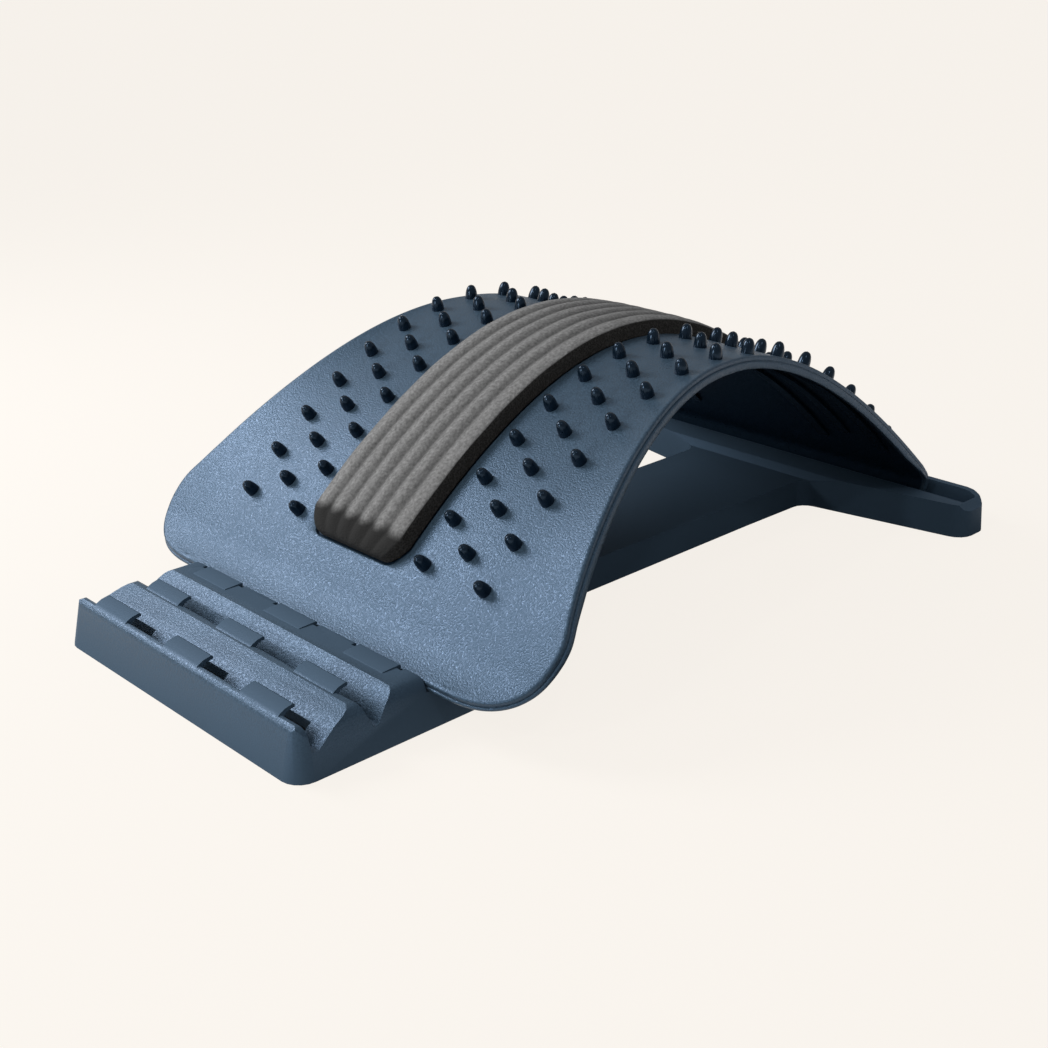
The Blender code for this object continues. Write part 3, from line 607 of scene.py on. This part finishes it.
def stud_column():
    """Geometry group: one column of studs and the strip under it, along the arch at a side distance."""
    tree = bpy.data.node_groups.new("stud_column", "GeometryNodeTree")
    group_socket(tree, "Arch line", "NodeSocketGeometry", True)
    group_socket(tree, "Stud", "NodeSocketGeometry", True)
    group_socket(tree, "Side", "NodeSocketFloat", True)
    group_socket(tree, "Studs", "NodeSocketInt", True)
    group_socket(tree, "Pitch", "NodeSocketFloat", True)
    group_socket(tree, "Apex length", "NodeSocketFloat", True)
    group_socket(tree, "Geometry", "NodeSocketGeometry", False)
    new = tree.nodes.new
    link = tree.links.new
    given = new("NodeGroupInput")
    made = new("NodeGroupOutput")

    index = new("GeometryNodeInputIndex").outputs["Index"]
    half_count = maths(tree, "MULTIPLY", maths(tree, "SUBTRACT", given.outputs["Studs"], 1), 0.5)
    from_middle = maths(tree, "SUBTRACT", index, half_count)
    from_apex = maths(tree, "MULTIPLY", from_middle, given.outputs["Pitch"])
    where = new("GeometryNodeSampleCurve")
    where.mode = "LENGTH"
    link(given.outputs["Arch line"], where.inputs["Curves"])
    link(maths(tree, "ADD", from_apex, given.outputs["Apex length"]), where.inputs["Length"])
    sideways = new("ShaderNodeCombineXYZ")
    link(given.outputs["Side"], sideways.inputs["Y"])
    at = new("ShaderNodeVectorMath")
    link(where.outputs["Position"], at.inputs[0])
    link(sideways.outputs["Vector"], at.inputs[1])
    points = new("GeometryNodePoints")
    link(given.outputs["Studs"], points.inputs["Count"])
    link(at.outputs["Vector"], points.inputs["Position"])

    # Each stud stands square to the arch: its Z turns to the tangent's upright in the XZ plane.
    tangent = new("ShaderNodeSeparateXYZ")
    link(where.outputs["Tangent"], tangent.inputs["Vector"])
    upright = new("ShaderNodeCombineXYZ")
    link(maths(tree, "MULTIPLY", tangent.outputs["Z"], -1), upright.inputs["X"])
    link(tangent.outputs["X"], upright.inputs["Z"])
    # The direction is kept on the points, because the index is lost once they are instances.
    keep = new("GeometryNodeStoreNamedAttribute")
    keep.data_type = "FLOAT_VECTOR"
    keep.inputs["Name"].default_value = "upright"
    link(points.outputs["Geometry"], keep.inputs["Geometry"])
    link(upright.outputs["Vector"], keep.inputs["Value"])
    kept = new("GeometryNodeInputNamedAttribute")
    kept.data_type = "FLOAT_VECTOR"
    kept.inputs["Name"].default_value = "upright"
    turn = new("FunctionNodeAlignRotationToVector")
    turn.axis = "Z"
    link(kept.outputs["Attribute"], turn.inputs["Vector"])
    studs = new("GeometryNodeInstanceOnPoints")
    link(keep.outputs["Geometry"], studs.inputs["Points"])
    link(given.outputs["Stud"], studs.inputs["Instance"])
    link(turn.outputs["Rotation"], studs.inputs["Rotation"])

    strip_end, strip_width, strip_thickness, strip_depth = 5 * MM, 6 * MM, 1.2 * MM, 4.5 * MM
    strip_half = maths(tree, "MULTIPLY", half_count, given.outputs["Pitch"])
    strip_half = maths(tree, "ADD", strip_half, strip_end)
    length = new("GeometryNodeTrimCurve")
    length.mode = "LENGTH"
    link(given.outputs["Arch line"], length.inputs["Curve"])
    start_length, end_length = length.inputs[4], length.inputs[5]
    link(maths(tree, "SUBTRACT", given.outputs["Apex length"], strip_half), start_length)
    link(maths(tree, "ADD", given.outputs["Apex length"], strip_half), end_length)
    profile = new("GeometryNodeCurvePrimitiveQuadrilateral")
    profile.inputs["Width"].default_value = strip_width
    profile.inputs["Height"].default_value = strip_thickness
    # The strip's middle runs under the plate's top, square to the arch.
    heading = new("ShaderNodeSeparateXYZ")
    link(new("GeometryNodeInputTangent").outputs["Tangent"], heading.inputs["Vector"])
    under = new("ShaderNodeCombineXYZ")
    link(maths(tree, "MULTIPLY", heading.outputs["Z"], strip_depth), under.inputs["X"])
    link(given.outputs["Side"], under.inputs["Y"])
    link(maths(tree, "MULTIPLY", heading.outputs["X"], -strip_depth), under.inputs["Z"])
    shift = new("GeometryNodeSetPosition")
    link(length.outputs["Curve"], shift.inputs["Geometry"])
    link(under.outputs["Vector"], shift.inputs["Offset"])
    band = new("GeometryNodeCurveToMesh")
    band.inputs["Fill Caps"].default_value = True
    link(shift.outputs["Geometry"], band.inputs["Curve"])
    link(profile.outputs["Curve"], band.inputs["Profile Curve"])
    join = new("GeometryNodeJoinGeometry")
    link(studs.outputs["Instances"], join.inputs["Geometry"])
    link(band.outputs["Mesh"], join.inputs["Geometry"])
    link(join.outputs["Geometry"], made.inputs["Geometry"])
    return tree


def stud_field(material):
    """Geometry tree: the stud's own shape, then six columns of it."""
    tree = bpy.data.node_groups.new("stud_field", "GeometryNodeTree")
    group_socket(tree, "Geometry", "NodeSocketGeometry", True)
    group_socket(tree, "Stud radius", "NodeSocketFloat", True, 2.9 * MM)
    group_socket(tree, "Stud height", "NodeSocketFloat", True, 6.6 * MM)
    group_socket(tree, "Root depth", "NodeSocketFloat", True, 4.4 * MM)
    group_socket(tree, "Pitch", "NodeSocketFloat", True, ROW)
    group_socket(tree, "Apex length", "NodeSocketFloat", True, 0.0)
    group_socket(tree, "Geometry", "NodeSocketGeometry", False)
    new = tree.nodes.new
    link = tree.links.new
    given = new("NodeGroupInput")
    made = new("NodeGroupOutput")

    # A unit cylinder from 0 to 1, narrowed towards its tip by a curve, then stretched to size.
    rod = new("GeometryNodeMeshCylinder")
    rod.inputs["Vertices"].default_value = 24
    rod.inputs["Side Segments"].default_value = 28
    rod.inputs["Fill Segments"].default_value = 3
    rod.inputs["Radius"].default_value = 1.0
    rod.inputs["Depth"].default_value = 1.0
    spot = new("GeometryNodeInputPosition")
    parts = new("ShaderNodeSeparateXYZ")
    link(spot.outputs["Position"], parts.inputs["Vector"])
    along = maths(tree, "ADD", parts.outputs["Z"], 0.5)
    taper = new("ShaderNodeFloatCurve")
    line = taper.mapping.curves[0]
    line.points[0].location = (0.0, 1.0)
    line.points[1].location = (1.0, 0.0)
    for at, wide in ((0.42, 1.0), (0.62, 0.95), (0.80, 0.80), (0.90, 0.62), (0.96, 0.42), (0.99, 0.2)):
        line.points.new(at, wide)
    taper.mapping.update()
    link(along, taper.inputs["Value"])
    radius = maths(tree, "MULTIPLY", taper.outputs["Value"], given.outputs["Stud radius"])
    whole = maths(tree, "ADD", given.outputs["Stud height"], given.outputs["Root depth"])
    rise = maths(tree, "MULTIPLY", along, whole)
    shaped = new("ShaderNodeCombineXYZ")
    link(maths(tree, "MULTIPLY", parts.outputs["X"], radius), shaped.inputs["X"])
    link(maths(tree, "MULTIPLY", parts.outputs["Y"], radius), shaped.inputs["Y"])
    link(maths(tree, "SUBTRACT", rise, given.outputs["Root depth"]), shaped.inputs["Z"])
    bullet = new("GeometryNodeSetPosition")
    link(rod.outputs["Mesh"], bullet.inputs["Geometry"])
    link(shaped.outputs["Vector"], bullet.inputs["Position"])

    line_curve = new("GeometryNodeMeshToCurve")
    link(given.outputs["Geometry"], line_curve.inputs["Mesh"])
    gather = new("GeometryNodeJoinGeometry")
    group = stud_column()
    for side in (-1, 1):
        for y, studs in ((41.0, 15), (58.1, 14), (75.2, 15)):
            column = new("GeometryNodeGroup")
            column.node_tree = group
            column.inputs["Side"].default_value = side * y * MM
            column.inputs["Studs"].default_value = studs
            link(line_curve.outputs["Curve"], column.inputs["Arch line"])
            link(bullet.outputs["Geometry"], column.inputs["Stud"])
            link(given.outputs["Pitch"], column.inputs["Pitch"])
            link(given.outputs["Apex length"], column.inputs["Apex length"])
            link(column.outputs["Geometry"], gather.inputs["Geometry"])
    solid = new("GeometryNodeRealizeInstances")
    link(gather.outputs["Geometry"], solid.inputs["Geometry"])
    smooth = new("GeometryNodeSetShadeSmooth")
    link(solid.outputs["Geometry"], smooth.inputs["Geometry"])
    paint = new("GeometryNodeSetMaterial")
    paint.inputs["Material"].default_value = material
    link(smooth.outputs["Geometry"], paint.inputs["Geometry"])
    link(paint.outputs["Geometry"], made.inputs["Geometry"])
    return tree


navy = stud_finish()
line_mesh = bpy.data.meshes.new("arch_line")
line_points = [ARCH.place(s, 0, 0) for s in np.linspace(FRONT, TAIL, 500)]
line_edges = [(k, k + 1) for k in range(len(line_points) - 1)]
line_mesh.from_pydata(line_points, line_edges, [])
line = bpy.data.objects.new("arch_line", line_mesh)
scene.collection.objects.link(line)
field = line.modifiers.new("studs", "NODES")
field.node_group = stud_field(navy)
for item in field.node_group.interface.items_tree:
    if item.in_out == "INPUT" and item.name == "Apex length":
        field[item.identifier] = -FRONT
depsgraph = bpy.context.evaluated_depsgraph_get()
made = bpy.data.meshes.new_from_object(line.evaluated_get(depsgraph))
made.name = "studs"
line.modifiers.clear()
bpy.data.objects.remove(line)
studs = bpy.data.objects.new("studs_and_strips", made)
scene.collection.objects.link(studs)
made.set_sharp_from_angle(angle=math.radians(60))
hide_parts("stud_strip_left_inner", "stud_strip_left_middle", "stud_strip_left_outer")
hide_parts("stud_strip_right_inner", "stud_strip_right_middle", "stud_strip_right_outer")
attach(studs, "arch")


# Foam pad: a strip of firm cellular foam down the middle of the arch, its top pressed into six
# lengthwise ribs and rubbed pale, its rounded ends and, partly, its grooves painted darker as shade,
# its cut sides dark and open-celled. Stuck down in the recess.

def foam_pad():
    """The pad as rings from end to end, with its colours' masks painted on the vertices."""
    reach, half_width, full_height = 7.25 * ROW, 28.4 * MM, 7.7 * MM
    ribs, rib_depth, steps = 6, 1.25 * MM, 96
    end_length = 14 * MM
    # The recess's depth, then the adhesive with a gap on each side.
    bottom = -1.5 * MM + 0.3 * MM + 0.5 * MM + 0.3 * MM
    ends = [0, 0.25, 0.6, 1.0, 1.5, 2.1, 2.8, 3.6, 4.5, 5.5, 6.6, 7.8, 9.0, 10.4, 12.0, 14.0]
    stations = [-reach + d * MM for d in ends]
    stations += list(np.linspace(-reach + end_length, reach - end_length, 190)[1:-1])
    stations += [reach - d * MM for d in reversed(ends)]
    # rubbed is 1 on the pressed top and 0 on a cut side. wear_and_shade is 1 where the top is rubbed
    # pale; it is lower in the grooves, partly wear and partly painted shade, and 0 over the rounded
    # ends, as painted shade.
    bm = bmesh.new()
    rubbed = bm.verts.layers.float.new("rubbed")
    wear_and_shade = bm.verts.layers.float.new("wear_and_shade")
    rings = []
    for s in stations:
        left = reach - abs(s)
        into = min(1, left / end_length)
        round_end = math.sqrt(max(0, 1 - (1 - into) ** 2))
        half = half_width - 8 * MM * (1 - min(1, math.sqrt(left / (9 * MM))))
        height = bottom + (full_height - bottom) * (0.35 + 0.65 * round_end)
        rim = height - (0.375 + 0.7) * MM * round_end - 0.5 * MM
        # One side, drawn in by 0.4 mm over its lower part and by as much again over its upper part.
        ring = []
        for share in (0.0, 0.2, 0.4, 0.6, 0.8, 0.93):
            inset = 0.4 * MM * share / 0.6 if share < 0.6 else 0.4 * MM + 0.4 * MM * (share - 0.6) / 0.4
            ring.append((half - inset, bottom + (rim - bottom) * share, 0.0, 0.0))
        # The ribbed top. Past the outermost crests it runs on nearly flat to the sides.
        for k in range(steps + 1):
            across = 1 - 2 * k / steps
            wave = abs(math.sin(math.pi * ribs * (across + 1) / 2)) ** 1.2
            beyond_last = (abs(across) - 0.833) / 0.167
            if beyond_last > 0:
                wave = 1 - 0.3 * beyond_last ** 2
            edge_fall = 0.7 * MM * abs(across) ** 10
            crown = 0.5 * MM * across ** 2
            out = height - rib_depth * (1 - wave) * round_end - crown - edge_fall * round_end
            # Painted shade: the top is kept dark over the last 8 to 10.5 mm of each end, and its grooves
            # are darker than the crests, partly as less wear and partly as painted shade.
            pale = min(1, max(0, (left - (10.5 - 2.5 * wave) * MM) / (4 * MM)))
            ring.append(((half - 0.8 * MM) * across, out, 1.0, pale * (0.4 + 0.6 * wave)))
        for y, out, tone, pale in list(reversed(ring[:6])):
            ring.append((-y, out, tone, pale))
        placed = []
        for y, out, tone, pale in ring:
            spot = Vector((s, y, out))
            if out > bottom + 0.1 * MM:
                out += 0.22 * MM * noise.noise(spot * 90) + 0.05 * MM * noise.noise(spot * 900)
            vertex = bm.verts.new(ARCH.place(s, y, out))
            vertex[rubbed] = tone
            vertex[wear_and_shade] = pale
            placed.append(vertex)
        rings.append(placed)
    for ring, following in zip(rings, rings[1:]):
        for k, vertex in enumerate(ring):
            j = (k + 1) % len(ring)
            bm.faces.new((vertex, ring[j], following[j], following[k]))
    bm.faces.new(rings[0])
    bm.faces.new(rings[-1])
    bmesh.ops.recalc_face_normals(bm, faces=bm.faces)
    mesh = bpy.data.meshes.new("foam_pad_ribbed")
    bm.to_mesh(mesh)
    bm.free()
    mesh.shade_smooth()
    mesh.set_sharp_from_angle(angle=math.radians(60))
    obj = bpy.data.objects.new("foam_pad_ribbed", mesh)
    scene.collection.objects.link(obj)
    return obj


def foam_finish():
    """Matt cellular foam: near black where cut, dusty pale where rubbed, and dark skin on the top's
    ends and in its grooves, which there is painted shade, in the grooves partly less rubbing too.
    """
    material, tree, shader = new_material("foam_grey")
    shader.inputs["Roughness"].default_value = 0.95
    shader.inputs["Specular IOR Level"].default_value = 0.2
    place = tree.nodes.new("ShaderNodeTexCoord")
    cells = tree.nodes.new("ShaderNodeTexVoronoi")
    cells.inputs["Scale"].default_value = 1300
    tree.links.new(place.outputs["Object"], cells.inputs["Vector"])
    dust = object_noise(tree, 760, 4)
    cut = blend(tree, cells.outputs["Distance"], (0.010, 0.009, 0.008), (0.070, 0.066, 0.062))
    pale = blend(tree, dust, (0.05, 0.05, 0.05), (0.40, 0.40, 0.40))
    # Painted shade: this mask also darkens the pad's ends and grooves, besides its rubbed wear.
    skin = blend(tree, painted(tree, "wear_and_shade"), (0.026, 0.026, 0.026), pale)
    tree.links.new(blend(tree, painted(tree, "rubbed"), cut, skin), shader.inputs["Base Color"])
    emboss(tree, shader, cells.outputs["Distance"], 0.25 * MM, 0.6)
    return material


pad = foam_pad()
pad.data.materials.append(foam_finish())
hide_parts("foam_pad")
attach(pad, "arch")


# Adhesive: the film of contact cement that holds the pad in the recess. It stays the CAD's own
# solid, hardly seen; dull amber with brush marks.

def adhesive_finish():
    """Dried contact cement with brush marks."""
    material, tree, shader = new_material("adhesive_film")
    marks = object_noise(tree, 300, 4)
    tone = blend(tree, marks, (0.20, 0.15, 0.07), (0.34, 0.27, 0.15))
    tree.links.new(tone, shader.inputs["Base Color"])
    tree.links.new(spread(tree, marks, (0, 1), (0.3, 0.6)), shader.inputs["Roughness"])
    return material


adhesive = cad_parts["pad_adhesive"]
adhesive.data.materials.clear()
adhesive.data.materials.append(adhesive_finish())
